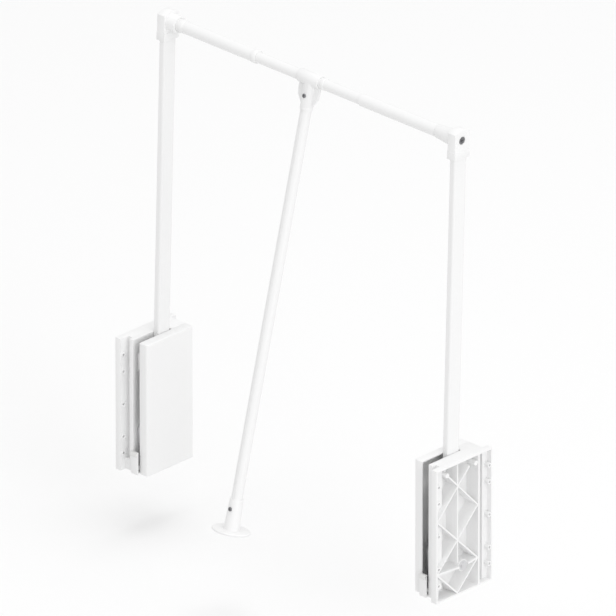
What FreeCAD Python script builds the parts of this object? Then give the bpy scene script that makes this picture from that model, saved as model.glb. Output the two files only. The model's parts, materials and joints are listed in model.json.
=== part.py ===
"""Pull down closet rod: two side units, two sprung arms, a telescopic rod and a pull rod.

Frame: millimetres, X along the rod from the left wall face to the right, Y towards the back of the
wardrobe, Z up. The origin is the centre of the left unit's screw pattern, on its wall face.
The right-hand pieces are mirror images of left-hand ones about the middle of the width.
"""

import FreeCAD, Part
import math
import os
import Sketcher

V = FreeCAD.Vector
doc = FreeCAD.newDocument("pull_down_closet_rod")

# ---------------------------------------------------------------- sizes

DRIVING = {
    # side units
    "width": 790.0,
    "unit_height": 258.0,
    "unit_thickness": 66.0,
    "base_depth": 141.0,
    "flange_step": 12.5,
    "cover_thickness": 18.5,
    "slot_width": 16.0,
    "flange_thickness": 12.5,
    "skin": 2.5,
    "edge_wall": 3.0,
    "tray_wall": 3.5,
    "cover_wall": 2.5,
    "cover_edge_round": 4.0,
    "channel_depth": 31.5,
    "inner_wall": 4.0,
    "groove_depth": 8.0,
    "groove_width": 10.5,
    "groove_foot": 22.0,
    "rib_width": 2.6,
    "rib_recess": 0.8,
    "grid_pitch": 32.0,
    "screw_hole": 2.5,
    "screw_boss": 4.5,
    "ring_boss": 1.5,
    "post": 4.0,
    "post_rise": 70.0,
    "tongue_step": 6.0,
    "tongue_wall": 2.5,
    "lip_top": 43.5,
    "lip_cap": 2.5,
    "lip_leg": 3.0,
    "lip_drop": 6.0,
    # pivot
    "pivot_height": 51.0,
    "axle": 5.0,
    "hub": 11.0,
    "bush_wall": 1.5,
    "bush_flange": 0.7,
    "running_gap": 0.05,
    "seat_gap": 0.02,
    "free_gap": 0.3,
    # arms
    "arm_length": 807.0,
    "arm_thickness": 14.0,
    "arm_depth": 30.0,
    "arm_wall": 1.5,
    "arm_corner": 4.0,
    "rest_lean": 1.7,
    "arm_swing": 84.0,
    "knuckle": 45.0,
    "neck_height": 48.0,
    "tongue": 42.0,
    "arm_pin": 3.0,
    # lift gear
    "crank": 38.0,
    "crank_pin": 3.0,
    "roller": 4.5,
    "fork_gap": 8.8,
    "yoke_thickness": 8.0,
    "yoke_wall": 3.0,
    "yoke_bar": 4.0,
    "lift_rate": 0.934,
    "spring_body": 7.0,
    "spring_bore": 5.5,
    "spring_rod": 4.0,
    "spring_foot": 40.0,
    "rod_stroke_length": 72.0,
    # heads and rod
    "head_thickness": 18.0,
    "head_depth": 36.0,
    "head_drop": 34.5,
    "head_shoulder": 14.5,
    "head_crown": 30.0,
    "head_band": 15.0,
    "head_band_step": 0.6,
    "head_socket": 21.0,
    "boss": 16.0,
    "boss_length": 20.0,
    "screw_recess": 7.5,
    "outer_rod": 11.5,
    "middle_rod": 10.0,
    "middle_rod_wall": 1.2,
    "slide_gap": 0.1,
    "left_rod_reach": 134.0,
    "right_rod_reach": 122.0,
    "tube_overlap": 110.0,
    "collar_width": 8.0,
    "collar_wall": 0.7,
    "head_collar_width": 12.0,
    "head_collar_step": 4.0,
    "stop_collar_place": 26.0,
    "cone_length": 40.0,
    # pull rod
    "connector_offset": 2.5,
    "sleeve_length": 49.0,
    "sleeve": 12.5,
    "neck": 12.0,
    "neck_length": 50.0,
    "neck_screw_drop": 30.0,
    "web": 5.0,
    "pull_tube": 10.2,
    "pull_tube_wall": 1.2,
    "pull_length": 836.5,
    "pull_lean": 14.1,
    "pull_screw": 2.3,
    "ferrule": 6.0,
    "socket_top": 12.0,
    "socket_foot": 14.5,
    "socket_length": 57.0,
    "handle_screw_drop": 19.0,
    "disc": 35.0,
    "disc_thickness": 4.5,
}

sheet = doc.addObject("Spreadsheet::Sheet", "sizes")


class Size:
    """A size that keeps both its number and the sheet formula that gives it."""

    def __init__(self, number, formula):
        self.number = number
        self.formula = formula

    def join(self, other, sign, number):
        return Size(number, f"({self.formula} {sign} {formula_of(other)})")

    def __add__(self, other):
        return self.join(other, "+", self.number + number_of(other))

    def __sub__(self, other):
        return self.join(other, "-", self.number - number_of(other))

    def __mul__(self, other):
        return self.join(other, "*", self.number * number_of(other))

    def __truediv__(self, other):
        return self.join(other, "/", self.number / number_of(other))

    def __neg__(self):
        return Size(-self.number, f"(0 - {self.formula})")

    def __radd__(self, other):
        return Size(other + self.number, f"({other} + {self.formula})")

    def __rsub__(self, other):
        return Size(other - self.number, f"({other} - {self.formula})")

    def __rmul__(self, other):
        return Size(other * self.number, f"({other} * {self.formula})")


def number_of(size):
    return size.number if isinstance(size, Size) else float(size)


def formula_of(size):
    return size.formula if isinstance(size, Size) else repr(float(size))


def sine(angle):
    return Size(math.sin(math.radians(angle.number)), f"sin({angle.formula} * 1deg)")


def cosine(angle):
    return Size(math.cos(math.radians(angle.number)), f"cos({angle.formula} * 1deg)")


def tangent(angle):
    return sine(angle) / cosine(angle)


size = {}
for row, (alias, number) in enumerate(DRIVING.items(), start=1):
    sheet.set(f"A{row}", alias)
    sheet.set(f"B{row}", str(number))
    sheet.setAlias(f"B{row}", alias)
    size[alias] = Size(number, f"sizes.{alias}")
doc.recompute()

# ---------------------------------------------------------------- modelling helpers


def bind(thing, prop, value):
    """Ties a property to the sheet, or sets it when the value is a plain number."""
    if isinstance(value, Size):
        thing.setExpression(prop, value.formula)
    elif value:
        thing.setExpression(prop, repr(float(value)))


def place(thing, x=0, y=0, z=0, lean=None):
    """Puts an object at x, y, z, leaning back (top towards +Y) by an angle."""
    if lean is not None:
        turn = FreeCAD.Rotation(V(-1, 0, 0), lean.number)
        thing.Placement = FreeCAD.Placement(V(0, 0, 0), turn)
    for axis, value in zip("xyz", (x, y, z)):
        bind(thing, f"Placement.Base.{axis}", value)
    return thing


def new_body(name):
    body = doc.addObject("PartDesign::Body", name)
    body.Label = name
    return body


def sketch(body, plane, level=0):
    """A sketch on one of the body's own planes, moved along the plane's normal by level."""
    drawing = body.newObject("Sketcher::SketchObject", "sketch")
    support = [f for f in body.Origin.OriginFeatures if f.Role == plane][0]
    drawing.AttachmentSupport = (support, "")
    drawing.MapMode = "FlatFace"
    bind(drawing, "AttachmentOffset.Base.z", level)
    return drawing


def hold(drawing, kind, curve, point, value):
    """One driving constraint, tied to the sheet."""
    if kind == "Radius":
        constraint = Sketcher.Constraint(kind, curve, number_of(value))
    else:
        constraint = Sketcher.Constraint(kind, -1, 1, curve, point, number_of(value))
    index = drawing.addConstraint(constraint)
    if isinstance(value, Size):
        drawing.setExpression(f"Constraints[{index}]", value.formula)


def outline(drawing, corners):
    """A closed outline of straight lines through the corners."""
    first = drawing.GeometryCount
    count = len(corners)
    points = [V(number_of(a), number_of(b), 0) for a, b in corners]
    for i in range(count):
        drawing.addGeometry(Part.LineSegment(points[i], points[(i + 1) % count]))
    for i in range(count):
        following = first + (i + 1) % count
        drawing.addConstraint(Sketcher.Constraint("Coincident", first + i, 2, following, 1))
    for i, (a, b) in enumerate(corners):
        hold(drawing, "DistanceX", first + i, 1, a)
        hold(drawing, "DistanceY", first + i, 1, b)


def rectangle(drawing, left, bottom, right, top):
    outline(drawing, [(left, bottom), (right, bottom), (right, top), (left, top)])


def circle(drawing, a, b, radius):
    centre = V(number_of(a), number_of(b), 0)
    curve = drawing.addGeometry(Part.Circle(centre, V(0, 0, 1), number_of(radius)))
    hold(drawing, "DistanceX", curve, 3, a)
    hold(drawing, "DistanceY", curve, 3, b)
    hold(drawing, "Radius", curve, 0, radius)


def pad(body, drawing, length, backwards=False):
    feature = body.newObject("PartDesign::Pad", "pad")
    feature.Profile = drawing
    feature.Reversed = backwards
    bind(feature, "Length", length)
    drawing.Visibility = False
    return feature


def pocket(body, drawing, depth, backwards=True):
    """A cut that runs along the sketch's normal when backwards is set."""
    feature = body.newObject("PartDesign::Pocket", "pocket")
    feature.Profile = drawing
    feature.Reversed = backwards
    bind(feature, "Length", depth)
    drawing.Visibility = False
    return feature


def revolve(body, drawing):
    """Turns a sketch on the XZ plane about the body's Z axis."""
    feature = body.newObject("PartDesign::Revolution", "revolution")
    feature.Profile = drawing
    feature.ReferenceAxis = (drawing, ["V_Axis"])
    feature.Angle = 360
    drawing.Visibility = False
    return feature


def fillet(body, radius, wanted):
    """Rounds the edges of the body's tip that wanted(edge) picks."""
    doc.recompute()
    base = body.Tip
    names = [f"Edge{i}" for i, e in enumerate(base.Shape.Edges, start=1) if wanted(e)]
    feature = body.newObject("PartDesign::Fillet", "fillet")
    feature.Base = (base, names)
    bind(feature, "Radius", radius)
    return feature


def runs_along(edge, axis):
    """True for a straight edge parallel to the X, Y or Z axis (0, 1 or 2)."""
    if not isinstance(edge.Curve, Part.Line):
        return False
    step = edge.Vertexes[-1].Point - edge.Vertexes[0].Point
    return abs(abs(step[axis]) - step.Length) < 1e-6


def near(value, target):
    return abs(value - number_of(target)) < 1e-3


def box(name, x, y, z):
    """A Part::Box between pairs of limits along X, Y and Z."""
    block = doc.addObject("Part::Box", name)
    bind(block, "Length", x[1] - x[0])
    bind(block, "Width", y[1] - y[0])
    bind(block, "Height", z[1] - z[0])
    return place(block, x[0], y[0], z[0])


def rod_along_x(name, radius, x, y=0, z=0):
    """A Part::Cylinder along X between two limits."""
    bar = doc.addObject("Part::Cylinder", name)
    bind(bar, "Radius", radius)
    bind(bar, "Height", x[1] - x[0])
    bar.Placement = FreeCAD.Placement(V(0, 0, 0), FreeCAD.Rotation(V(0, 1, 0), 90))
    return place(bar, x[0], y, z)


def fuse(name, pieces):
    joined = doc.addObject("Part::MultiFuse", name)
    joined.Shapes = pieces
    joined.Refine = True
    return joined


def cut(name, base, tool):
    result = doc.addObject("Part::Cut", name)
    result.Base = base
    result.Tool = tool
    return result


def tube_along_x(name, radius, bore, x, lean_frame=True):
    """A plain round tube along X, as a body of its own in the arm's frame."""
    body = new_body(name)
    drawing = sketch(body, "YZ_Plane", x[0])
    circle(drawing, 0, arm_length, radius)
    circle(drawing, 0, arm_length, bore)
    pad(body, drawing, x[1] - x[0])
    return arm_frame(body) if lean_frame else body


# ---------------------------------------------------------------- places

half_height = size["unit_height"] / 2
half_base = size["base_depth"] / 2
half_cover = half_base - size["flange_step"]
middle = size["width"] / 2
connector_x = middle - size["connector_offset"]
slot_start = size["unit_thickness"] - size["cover_thickness"] - size["slot_width"]
slot_end = slot_start + size["slot_width"]
arm_plane = slot_start + size["slot_width"] / 2
pivot_z = size["pivot_height"] - half_height
lip_z = size["lip_top"] - half_height
screw_y = 2 * size["grid_pitch"]
screw_rows = [k * size["grid_pitch"] for k in (-3, -2, 0, 2, 3)]
arm_length = size["arm_length"]
half_arm = size["arm_depth"] / 2
half_thick = size["arm_thickness"] / 2
rod_centre = middle - arm_plane
rod_y = arm_length * sine(size["rest_lean"])
rod_z = pivot_z + arm_length * cosine(size["rest_lean"])

# the yoke moves up by lift_rate * crank for each radian that the arm turns
half_swing = size["arm_swing"] / 2
crank_low = size["crank"] * cosine(half_swing)
spring_y = (size["crank"] + crank_low) / 2
slot_reach = (size["crank"] - crank_low) / 2
yoke_error = 0.0165 * size["crank"]
yoke_z = pivot_z - size["lift_rate"] * size["crank"] * half_swing * (math.pi / 180)
yoke_slot_half = size["roller"] + yoke_error + size["free_gap"]
yoke_half_z = yoke_slot_half + size["yoke_bar"]
yoke_slot_reach = slot_reach + size["roller"] + size["free_gap"]
yoke_half_y = yoke_slot_reach + size["yoke_wall"]

parts = []


def keep(thing, label):
    thing.Label = label
    parts.append(thing)
    return thing


def arm_frame(body):
    """The arm's own frame: origin on the pivot axis in the arm's plane, Z up the arm."""
    return place(body, arm_plane, 0, pivot_z, size["rest_lean"])


def pull_frame(body):
    """The pull rod's own frame: origin on the rod's axis, -Z down the pull tube."""
    return place(body, connector_x, rod_y, rod_z, size["pull_lean"])


# ---------------------------------------------------------------- side unit: base moulding

# posts that carry the cover, as (y, z), clear of the swinging arm and the lift gear
back_post_y = half_cover - size["edge_wall"] - size["post"] + 1
low_post_z = size["tray_wall"] + size["post"] + 1 - half_height
post_places = [
    (back_post_y, low_post_z),
    (back_post_y, pivot_z + size["post_rise"]),
    (back_post_y, -low_post_z - 4),
    (-back_post_y, low_post_z),
]


def base_block():
    """The flange block, the body block and the tray walls round the arm's slot."""
    body = new_body("base_block")
    drawing = sketch(body, "YZ_Plane")
    rectangle(drawing, -half_base, -half_height, half_base, half_height)
    pad(body, drawing, size["flange_thickness"])
    drawing = sketch(body, "YZ_Plane", size["flange_thickness"])
    rectangle(drawing, -half_cover, -half_height, half_cover, half_height)
    pad(body, drawing, slot_start - size["flange_thickness"])
    # tray walls: a low tongue in front, floor, back, and a top that ends in a stop rib
    inner = half_cover - size["tray_wall"]
    inner_z = half_height - size["tray_wall"]
    drawing = sketch(body, "YZ_Plane", slot_start)
    outline(
        drawing,
        [
            (tongue_y, lip_z - size["lip_cap"]),
            (tongue_y, -half_height),
            (half_cover, -half_height),
            (half_cover, half_height),
            (stop_rib_y, half_height),
            (stop_rib_y, inner_z - 10),
            (stop_rib_y + 1.8, inner_z - 10),
            (stop_rib_y + 1.8, inner_z),
            (inner, inner_z),
            (inner, -inner_z),
            (tongue_y + size["tongue_wall"], -inner_z),
            (tongue_y + size["tongue_wall"], lip_z - size["lip_cap"]),
        ],
    )
    pad(body, drawing, size["slot_width"])
    # a groove down the front, between the flange and the body
    drawing = sketch(body, "YZ_Plane", size["flange_thickness"])
    rectangle(drawing, -half_base, groove_z, groove_y, half_height + 1)
    pocket(body, drawing, size["groove_width"])
    return body


tongue_y = -half_cover - size["tongue_step"]
groove_y = size["groove_depth"] - half_cover
groove_z = size["groove_foot"] - half_height
stop_rib_y = spring_y - size["spring_body"] - 2.2

front_wall_y = size["edge_wall"] - half_base
deep_front_y = groove_y + size["edge_wall"]
channel_y = half_base - size["channel_depth"]
pocket_back_y = channel_y - size["inner_wall"]
pocket_half_z = half_height - size["edge_wall"]
shallow = size["flange_thickness"] - size["skin"]
deep = slot_start - size["skin"]


def pocket_space():
    """The hollows that are open to the wall: a main pocket and a channel behind it."""
    z = (-pocket_half_z, pocket_half_z)
    foot = (-pocket_half_z, groove_z - size["edge_wall"])
    deep_y = half_cover - size["edge_wall"]
    hollows = [
        box("main_shallow", (Size(0, "0"), shallow), (front_wall_y, pocket_back_y), z),
        box("main_deep", (shallow - 1, deep), (deep_front_y, pocket_back_y), z),
        box("main_foot", (shallow - 1, deep), (-deep_y, pocket_back_y), foot),
        box("channel_shallow", (Size(0, "0"), shallow), (channel_y, half_base - size["edge_wall"]), z),
        box("channel_deep", (shallow - 1, deep), (channel_y, deep_y), z),
    ]
    return fuse("pocket_space", hollows)


pocket_centre_y = (front_wall_y + pocket_back_y) / 2
pocket_reach = (pocket_back_y - front_wall_y) / 2
low_node_z = -pocket_half_z + 0.5
node_step = size["unit_height"] / 5


def rib_band(body, corners):
    """A straight rib between two points, as wide as rib_width measured across a 45 degree rib."""
    (y1, z1), (y2, z2) = corners
    slant = size["rib_width"] * 0.707
    return [(y1, z1 - slant), (y2, z2 - slant), (y2, z2 + slant), (y1, z1 + slant)]


def rib_lattice():
    """Crossing diagonals, a centre rib and two ribs to the pivot hub, as deep as the pocket."""
    body = new_body("rib_lattice")
    left = pocket_centre_y - pocket_reach
    right = pocket_centre_y + pocket_reach
    nodes = [low_node_z + k * node_step for k in range(5)]
    rising = [
        ((pocket_centre_y, nodes[0]), (right, nodes[1])),
        ((left, nodes[1]), (right, nodes[3])),
        ((left, nodes[3]), (pocket_centre_y + 0.58 * pocket_reach, top_boss_z)),
    ]
    falling = [
        ((left, nodes[1]), (pocket_centre_y, nodes[0])),
        ((left, nodes[3]), (right, nodes[1])),
        ((top_boss_front, top_boss_z), (right, nodes[3])),
    ]
    hub_ribs = [
        ((left, nodes[1]), (-0.6 * size["hub"], pivot_z)),
        ((0.6 * size["hub"], pivot_z), (right, nodes[1])),
    ]
    for family in (rising, falling, hub_ribs):
        drawing = sketch(body, "YZ_Plane", size["rib_recess"])
        for ends in family:
            outline(drawing, rib_band(body, ends))
        pad(body, drawing, deep)
    drawing = sketch(body, "YZ_Plane", size["rib_recess"])
    half_rib = size["rib_width"] / 2
    rectangle(
        drawing,
        pocket_centre_y - half_rib,
        pivot_z + size["hub"],
        pocket_centre_y + half_rib,
        pocket_half_z + 1,
    )
    pad(body, drawing, deep)
    return body


top_boss_z = half_height - 17.5
top_boss_front = pocket_centre_y - pocket_reach / 2
top_boss_back = pocket_centre_y + 0.915 * pocket_reach


def make_base():
    space = pocket_space()
    ribs = doc.addObject("Part::MultiCommon", "ribs")
    ribs.Shapes = [rib_lattice(), space]
    shell = cut("base_shell", base_block(), space)
    bosses = [rod_along_x("hub_boss", size["hub"], (Size(4, "4"), deep + 1), 0, pivot_z)]
    for y in (top_boss_front, top_boss_back):
        bosses.append(rod_along_x("top_boss", size["screw_boss"], (Size(1, "1"), deep + 1), y, top_boss_z))
    ring_face = size["flange_thickness"] + size["ring_boss"]
    for z in screw_rows:
        for y in (-screw_y, screw_y):
            bosses.append(rod_along_x("screw_boss", size["screw_boss"], (Size(0, "0"), shallow + 1), y, z))
            bosses.append(rod_along_x("ring_boss", size["screw_boss"] + 1, (shallow, ring_face), y, z))
    for y, z in post_places:
        bosses.append(rod_along_x("post", size["post"], (deep - 3, slot_end), y, z))
    solid = fuse("base_solid", [shell, ribs] + bosses)
    holes = [rod_along_x("axle_hole", size["axle"] + size["seat_gap"], (Size(0, "0"), slot_end), 0, pivot_z)]
    holes.append(rod_along_x("clip_space", size["hub"], (Size(-1, "-1"), Size(4, "4")), 0, pivot_z))
    through = (-1 * size["skin"], ring_face + 1)
    for z in screw_rows:
        for y in (-screw_y, screw_y):
            holes.append(rod_along_x("screw_hole", size["screw_hole"], through, y, z))
    for y, z in post_places:
        holes.append(rod_along_x("post_hole", cover_screw + size["seat_gap"], (deep - 4, slot_end + 1), y, z))
    # two lightening windows through the skin, and the cradle's round seat for the gas spring
    skin_run = (deep - 1, slot_start + 0.5)
    window_z = (half_height - window_drop - window_length, half_height - window_drop)
    window_y = (pocket_back_y - 19, pocket_back_y - 14)
    holes.append(box("slot_window", skin_run, window_y, window_z))
    holes.append(corner_window(skin_run))
    return cut("left_base", solid, fuse("base_holes", holes))


window_drop = Size(23, "23")
window_length = Size(40, "40")


def corner_window(run):
    """A triangular window beside the upper front rib."""
    body = new_body("corner_window")
    drawing = sketch(body, "YZ_Plane", run[0])
    front = deep_front_y + 1
    outline(
        drawing,
        [(front, half_height - 66), (front + 18, half_height - 44), (front, half_height - 28)],
    )
    pad(body, drawing, run[1] - run[0])
    return body


cover_screw = Size(1.5, "1.5")


def make_cover():
    """The smooth inner cover, a shell that is open towards the slot."""
    body = new_body("left_cover")
    drawing = sketch(body, "YZ_Plane", slot_end)
    rectangle(drawing, -half_cover, -half_height, half_cover, half_height)
    pad(body, drawing, size["cover_thickness"])
    outer = size["unit_thickness"].number
    front = -half_cover.number

    def front_edge(edge):
        point = edge.Vertexes[0].Point
        return runs_along(edge, 2) and near(point.x, outer) and near(point.y, front)

    def rim_edge(edge):
        return all(near(v.Point.x, outer) for v in edge.Vertexes) and not runs_along(edge, 0)

    fillet(body, size["cover_edge_round"], front_edge)
    fillet(body, size["cover_wall"] * 0.8, rim_edge)
    drawing = sketch(body, "YZ_Plane", slot_end)
    wall = size["cover_wall"]
    rectangle(drawing, wall - half_cover, wall - half_height, half_cover - wall, half_height - wall)
    pocket(body, drawing, size["cover_thickness"] - wall)
    drawing = sketch(body, "YZ_Plane", slot_end)
    circle(drawing, 0, pivot_z, size["hub"])
    for y, z in post_places:
        circle(drawing, y, z, size["post"])
    pad(body, drawing, size["cover_thickness"] - wall / 2)
    drawing = sketch(body, "YZ_Plane", slot_end)
    circle(drawing, 0, pivot_z, size["axle"] + size["seat_gap"])
    for y, z in post_places:
        circle(drawing, y, z, cover_screw + size["seat_gap"])
    pocket(body, drawing, size["cover_thickness"] - 2 * wall)
    return body


def make_cover_screws():
    """Four identical screws that hold the cover, with heads in the wall-side pockets."""
    head = deep - 3
    screws = []
    for y, z in post_places:
        shank = rod_along_x("shank", cover_screw, (head, slot_end + 10), y, z)
        cap = rod_along_x("cap", size["post"] - 1.1, (head - 2.2, head), y, z)
        screws.append(fuse("cover_screw", [shank, cap]))
    group = doc.addObject("Part::Compound", "left_cover_screws")
    group.Links = screws
    return group


# ---------------------------------------------------------------- side unit: pivot, buffers, gas spring


def make_axle():
    """A plain pin with a groove for its clip near the wall end."""
    body = new_body("left_axle")
    drawing = sketch(body, "XZ_Plane")
    radius = size["axle"]
    groove = radius - 0.8
    far = size["unit_thickness"] - 2.4 * size["cover_wall"]
    outline(
        drawing,
        [
            (0, 1.5),
            (radius, 1.5),
            (radius, 2.9),
            (groove, 2.9),
            (groove, 3.95),
            (radius, 3.95),
            (radius, far),
            (0, far),
        ],
    )
    revolve(body, drawing)
    body.Placement = FreeCAD.Placement(V(0, 0, 0), FreeCAD.Rotation(V(0, 1, 0), 90))
    return place(body, 0, 0, pivot_z)


def make_axle_clip():
    body = new_body("left_axle_clip")
    drawing = sketch(body, "YZ_Plane", 2.95)
    circle(drawing, 0, pivot_z, size["hub"] - 1.5)
    circle(drawing, 0, pivot_z, size["axle"] - 0.78)
    pad(body, drawing, 0.98)
    return body


def make_lip_buffer():
    """A soft cap over the tongue that the lowered arm comes down on."""
    body = new_body("left_lip_buffer")
    under = lip_z - size["lip_cap"]
    front = tongue_y - size["lip_leg"]
    inner = tongue_y + size["tongue_wall"] + 0.9
    drawing = sketch(body, "YZ_Plane", slot_start + size["seat_gap"])
    outline(
        drawing,
        [
            (front, lip_z),
            (front, under - size["lip_drop"]),
            (tongue_y, under - size["lip_drop"]),
            (tongue_y, under),
            (inner, under),
            (inner, lip_z),
        ],
    )
    pad(body, drawing, size["slot_width"] - 2 * size["seat_gap"])
    return body


arm_back_at_top = (half_height - size["tray_wall"] - pivot_z) * tangent(size["rest_lean"]) + half_arm


def make_rest_buffer():
    """The stop behind the raised arm, on the face of the stop rib."""
    z = (half_height - size["tray_wall"] - 10, half_height - 1)
    y = (arm_back_at_top + size["free_gap"] + 0.1, stop_rib_y)
    return box("left_rest_buffer", (slot_start + 1.5, slot_end - 1.5), y, z)


spring_top = half_height - size["tray_wall"]
spring_bottom = pivot_z + size["spring_foot"]
rod_foot = yoke_z + yoke_half_z
piston_z = rod_foot + size["rod_stroke_length"]


def make_spring_cylinder():
    body = new_body("left_spring_cylinder")
    drawing = sketch(body, "XZ_Plane")
    gland = spring_bottom + 8
    crown = spring_top - 7
    outline(
        drawing,
        [
            (size["spring_rod"] + size["running_gap"], spring_bottom),
            (size["spring_body"], spring_bottom),
            (size["spring_body"], spring_top),
            (0, spring_top),
            (0, crown),
            (size["spring_bore"], crown),
            (size["spring_bore"], gland),
            (size["spring_rod"] + size["running_gap"], gland),
        ],
    )
    revolve(body, drawing)
    return place(body, arm_plane, spring_y)


def make_spring_clamp():
    """The saddle that holds the gas spring to the base's skin."""
    body = new_body("left_spring_saddle")
    half = size["spring_body"] + 2.5
    low = (spring_bottom + spring_top) / 2 + 10
    drawing = sketch(body, "XY_Plane", low)
    rectangle(drawing, slot_start, spring_y - half, arm_plane - 0.5, spring_y + half)
    pad(body, drawing, 24)
    drawing = sketch(body, "XY_Plane", low)
    circle(drawing, arm_plane, spring_y, size["spring_body"] + size["seat_gap"])
    pocket(body, drawing, 24)
    return body


def make_spring_rod():
    body = new_body("left_spring_rod")
    drawing = sketch(body, "XZ_Plane")
    spigot = size["spring_rod"] - 1.5
    outline(
        drawing,
        [
            (0, rod_foot - 3),
            (spigot, rod_foot - 3),
            (spigot, rod_foot),
            (size["spring_rod"], rod_foot),
            (size["spring_rod"], piston_z),
            (spigot, piston_z),
            (spigot, piston_z + 10),
            (0, piston_z + 10),
        ],
    )
    revolve(body, drawing)
    return place(body, arm_plane, spring_y)


def make_piston():
    body = new_body("left_spring_piston")
    drawing = sketch(body, "XY_Plane", piston_z)
    circle(drawing, 0, 0, size["spring_bore"] - size["running_gap"])
    circle(drawing, 0, 0, size["spring_rod"] - 1.5 + size["seat_gap"])
    pad(body, drawing, 8)
    return place(body, arm_plane, spring_y)


def make_yoke():
    """The cross-slotted yoke that the crank roller runs in."""
    body = new_body("left_yoke")
    half = size["yoke_thickness"] / 2
    drawing = sketch(body, "YZ_Plane", -half)
    rectangle(drawing, -yoke_half_y, -yoke_half_z, yoke_half_y, yoke_half_z)
    pad(body, drawing, size["yoke_thickness"])
    fillet(body, 3.0, lambda edge: runs_along(edge, 0))
    straight = yoke_slot_reach - yoke_slot_half
    drawing = sketch(body, "YZ_Plane", -half)
    rectangle(drawing, -yoke_slot_reach, -yoke_slot_half, yoke_slot_reach, yoke_slot_half)
    pocket(body, drawing, size["yoke_thickness"])
    rim = yoke_slot_reach.number
    fillet(body, straight * 0.9, lambda edge: runs_along(edge, 0) and near(abs(edge.Vertexes[0].Point.y), rim))
    drawing = sketch(body, "XY_Plane", yoke_half_z)
    circle(drawing, 0, 0, size["spring_rod"] - 1.5 + size["seat_gap"])
    pocket(body, drawing, 3.1, backwards=False)
    return place(body, arm_plane, spring_y, yoke_z)


# ---------------------------------------------------------------- arm

crank_angle = half_swing - size["rest_lean"]
crank_y = size["crank"] * cosine(crank_angle)
crank_z = -(size["crank"] * sine(crank_angle))
bush_bore = size["axle"] + size["running_gap"]
bush_outside = size["axle"] + size["bush_wall"]


def make_knuckle():
    """A round casting with a fork that holds the crank pin, and a tongue for the arm tube."""
    body = new_body("left_knuckle")
    drawing = sketch(body, "YZ_Plane", -half_thick)
    circle(drawing, 0, 0, size["knuckle"])
    pad(body, drawing, size["arm_thickness"])
    drawing = sketch(body, "YZ_Plane", -half_thick)
    rectangle(drawing, -half_arm, 0, half_arm, size["neck_height"])
    pad(body, drawing, size["arm_thickness"])
    # the nose, which turns down into the tray as the arm is lowered
    drawing = sketch(body, "YZ_Plane", -half_thick)
    outline(
        drawing,
        [
            (0, -2),
            (-nose, -2),
            (-nose - 3, nose - 16.8),
            (-nose + 4.8, nose - 4.8),
            (-half_arm, size["neck_height"]),
            (0, size["neck_height"]),
        ],
    )
    pad(body, drawing, size["arm_thickness"])
    tongue_gap = size["arm_wall"] + 0.2
    drawing = sketch(body, "YZ_Plane", tongue_gap - half_thick)
    inner = half_arm - tongue_gap
    rectangle(drawing, -inner, 0, inner, size["neck_height"] + size["tongue"])
    pad(body, drawing, size["arm_thickness"] - 2 * tongue_gap)
    # the fork's gap keeps clear of everything that the yoke sweeps through
    gap = size["fork_gap"]
    reach = spring_y - yoke_half_y
    far = size["knuckle"] + 5
    drawing = sketch(body, "YZ_Plane", -gap / 2)
    outline(
        drawing,
        [
            (0.93 * reach, far),
            (0.93 * reach, Size(-1, "-1")),
            (0.66 * reach, -0.66 * reach),
            (0.38 * reach, -0.9 * reach),
            (0.38 * reach, -far),
            (far, -far),
            (far, far),
        ],
    )
    pocket(body, drawing, gap)
    drawing = sketch(body, "YZ_Plane", -half_thick)
    circle(drawing, 0, 0, bush_outside + size["seat_gap"])
    circle(drawing, crank_y, crank_z, size["crank_pin"] + size["seat_gap"])
    circle(drawing, 0, pin_z, size["arm_pin"] + size["seat_gap"])
    pocket(body, drawing, size["arm_thickness"])
    return arm_frame(body)


nose = size["knuckle"] + 1.8
pin_z = size["neck_height"] + size["tongue"] / 2


def make_bushes():
    """Two flanged bushes, one from each side of the knuckle's hub."""
    pair = []
    for name, start, flange in (
        ("left_bush", -half_thick - size["bush_flange"], -half_thick - size["bush_flange"]),
        ("right_bush", Size(0.2, "0.2"), half_thick),
    ):
        length = half_thick + size["bush_flange"] - 0.2
        body = new_body(name)
        drawing = sketch(body, "YZ_Plane", start)
        circle(drawing, 0, 0, bush_outside)
        circle(drawing, 0, 0, bush_bore)
        pad(body, drawing, length)
        drawing = sketch(body, "YZ_Plane", flange)
        circle(drawing, 0, 0, size["hub"])
        circle(drawing, 0, 0, bush_bore)
        pad(body, drawing, size["bush_flange"])
        pair.append(arm_frame(body))
    group = doc.addObject("Part::Compound", "left_bushes")
    group.Links = pair
    return group


def pin_in_arm(name, y, z, radius, half_length, bore=None):
    body = new_body(name)
    drawing = sketch(body, "YZ_Plane", -half_length)
    circle(drawing, y, z, radius)
    if bore is not None:
        circle(drawing, y, z, bore)
    pad(body, drawing, 2 * half_length)
    return arm_frame(body)


tube_top = arm_length - size["head_drop"] + size["head_socket"]


def make_arm_tube():
    body = new_body("left_arm_tube")
    foot = size["neck_height"]
    drawing = sketch(body, "XY_Plane", foot)
    rectangle(drawing, -half_thick, -half_arm, half_thick, half_arm)
    pad(body, drawing, tube_top - foot)
    fillet(body, size["arm_corner"], lambda edge: runs_along(edge, 2))
    wall = size["arm_wall"]
    inner_x = half_thick - wall
    drawing = sketch(body, "XY_Plane", foot)
    rectangle(drawing, -inner_x, wall - half_arm, inner_x, half_arm - wall)
    pocket(body, drawing, tube_top - foot)
    drawing = sketch(body, "YZ_Plane", -half_thick)
    circle(drawing, 0, pin_z, size["arm_pin"] + size["seat_gap"])
    pocket(body, drawing, size["arm_thickness"])
    return arm_frame(body)


half_head = size["head_thickness"] / 2
rod_seat = half_head - 3


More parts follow.
